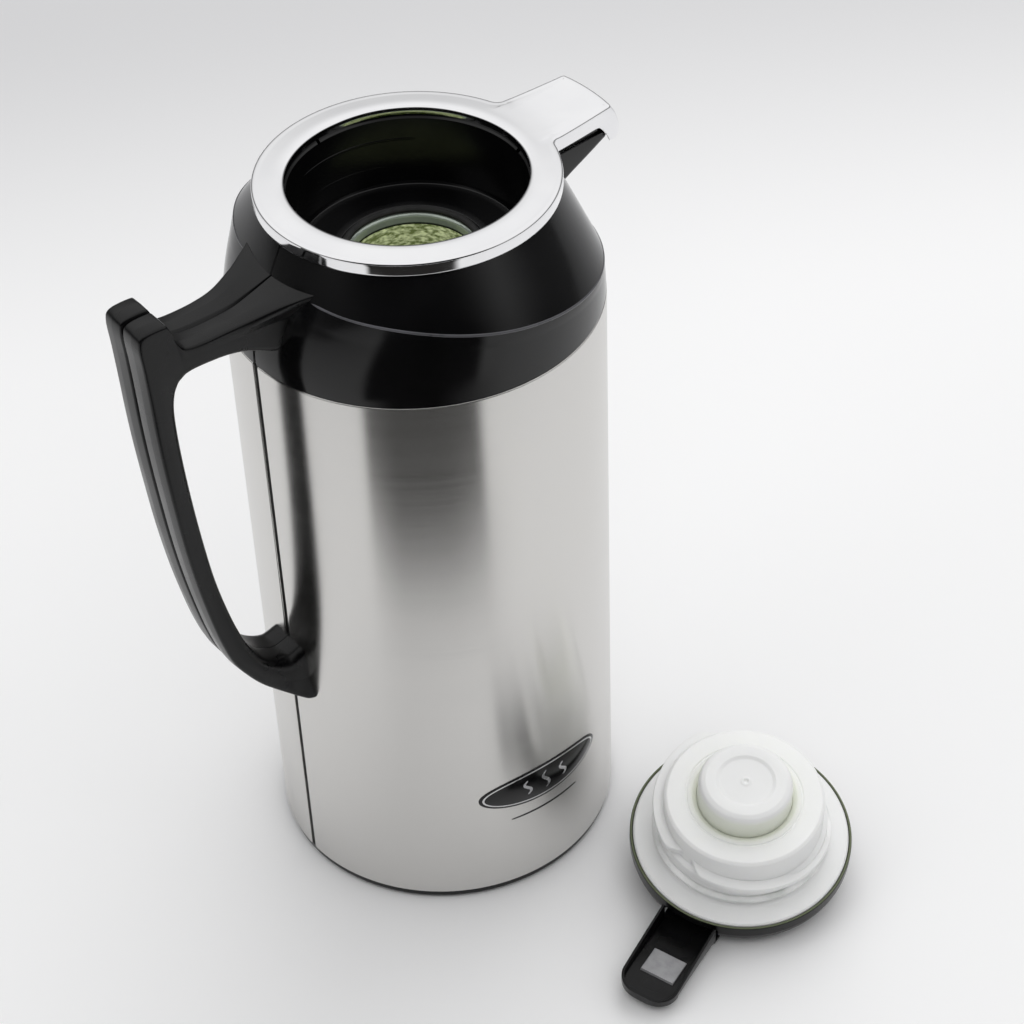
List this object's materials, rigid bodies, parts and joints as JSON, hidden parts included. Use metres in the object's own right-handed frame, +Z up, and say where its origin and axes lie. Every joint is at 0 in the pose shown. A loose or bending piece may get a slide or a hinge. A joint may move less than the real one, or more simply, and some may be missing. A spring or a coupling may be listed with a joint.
{
  "type": "vacuum jug",
  "caption": "Glass-lined steel vacuum coffee jug with black handle, chrome pouring collar and spout, standing open with its press-lever screw stopper upside down beside it.",
  "frame": {"origin": "centre of the jug's foot on the table", "axes": "+Z up, +X towards the pouring spout, handle towards -X; the stopper lies on the -Y side"},
  "size_m": [0.2196, 0.2264, 0.2992],
  "materials": {
    "base_cup": "glossy black moulded plastic",
    "base_plug": "glossy black moulded plastic",
    "glass_cushion": "matt black rubber",
    "steel_jacket": "vertically brushed stainless steel",
    "glass_liner": "silvered glass with a greenish tint",
    "neck_funnel": "glossy black moulded plastic",
    "neck_gasket": "matt black rubber",
    "shoulder": "glossy black moulded plastic",
    "handle_left": "glossy black moulded plastic",
    "handle_right": "glossy black moulded plastic",
    "handle_screw_upper_left": "bright stainless steel",
    "handle_screw_upper_right": "bright stainless steel",
    "handle_screw_lower_left": "bright stainless steel",
    "handle_screw_lower_right": "bright stainless steel",
    "chrome_ring": "bright chrome on plastic",
    "spout_channel": "glossy black moulded plastic",
    "stopper_gasket": "milky silicone",
    "stopper_body": "white moulded plastic",
    "lid_cover": "glossy black moulded plastic",
    "lever_pin": "bright stainless steel",
    "thumb_lever": "glossy black moulded plastic",
    "valve_cap": "white moulded plastic",
    "valve_stem": "white moulded plastic",
    "valve_seal": "milky silicone",
    "valve_clip": "bright stainless steel",
    "valve_spring": "bright stainless steel"
  },
  "bodies": {
    "jug": {"base_cup": "base_cup", "base_plug": "base_plug", "glass_cushion": "glass_cushion", "steel_jacket": "steel_jacket", "glass_liner": "glass_liner", "neck_funnel": "neck_funnel", "neck_gasket": "neck_gasket", "shoulder": "shoulder", "handle_left": "handle_left", "handle_right": "handle_right", "handle_screw_upper_left": "handle_screw_upper_left", "handle_screw_upper_right": "handle_screw_upper_right", "handle_screw_lower_left": "handle_screw_lower_left", "handle_screw_lower_right": "handle_screw_lower_right", "chrome_ring": "chrome_ring", "spout_channel": "spout_channel"},
    "seal_ring": {"stopper_gasket": "stopper_gasket"},
    "stopper": {"stopper_body": "stopper_body", "lid_cover": "lid_cover", "lever_pin": "lever_pin"},
    "lever": {"thumb_lever": "thumb_lever"},
    "valve": {"valve_cap": "valve_cap", "valve_stem": "valve_stem", "valve_seal": "valve_seal", "valve_clip": "valve_clip", "valve_spring": "valve_spring"}
  },
  "joints": [
    {"name": "lid_lift", "type": "slide", "parent": "jug", "child": "seal_ring", "axis": [-0.0915, -0.1504, 0.9844], "range_m": [0, 0.12]},
    {"name": "lid_turn", "type": "hinge", "parent": "seal_ring", "child": "stopper", "pos_m": [0.05997, -0.1152, 0.022], "axis": [-0.0915, -0.1504, 0.9844], "range_deg": [-40, 0]},
    {"name": "lever_press", "type": "hinge", "parent": "stopper", "child": "lever", "pos_m": [0.09387, -0.10085, 0.01891], "axis": [-0.3795, 0.9192, 0.1052], "range_deg": [0, 5], "stiffness_Nm_per_rad": 0.3, "springref_deg": -4.58},
    {"name": "valve_open", "type": "slide", "parent": "stopper", "child": "valve", "axis": [-0.0915, -0.1504, 0.9844], "range_m": [0, 0.0032], "deforming": ["valve_spring"]}
  ],
  "couplings": [
    {"joint": "valve_open", "follows": "lever_press", "m_per_rad": 0.036}
  ]
}
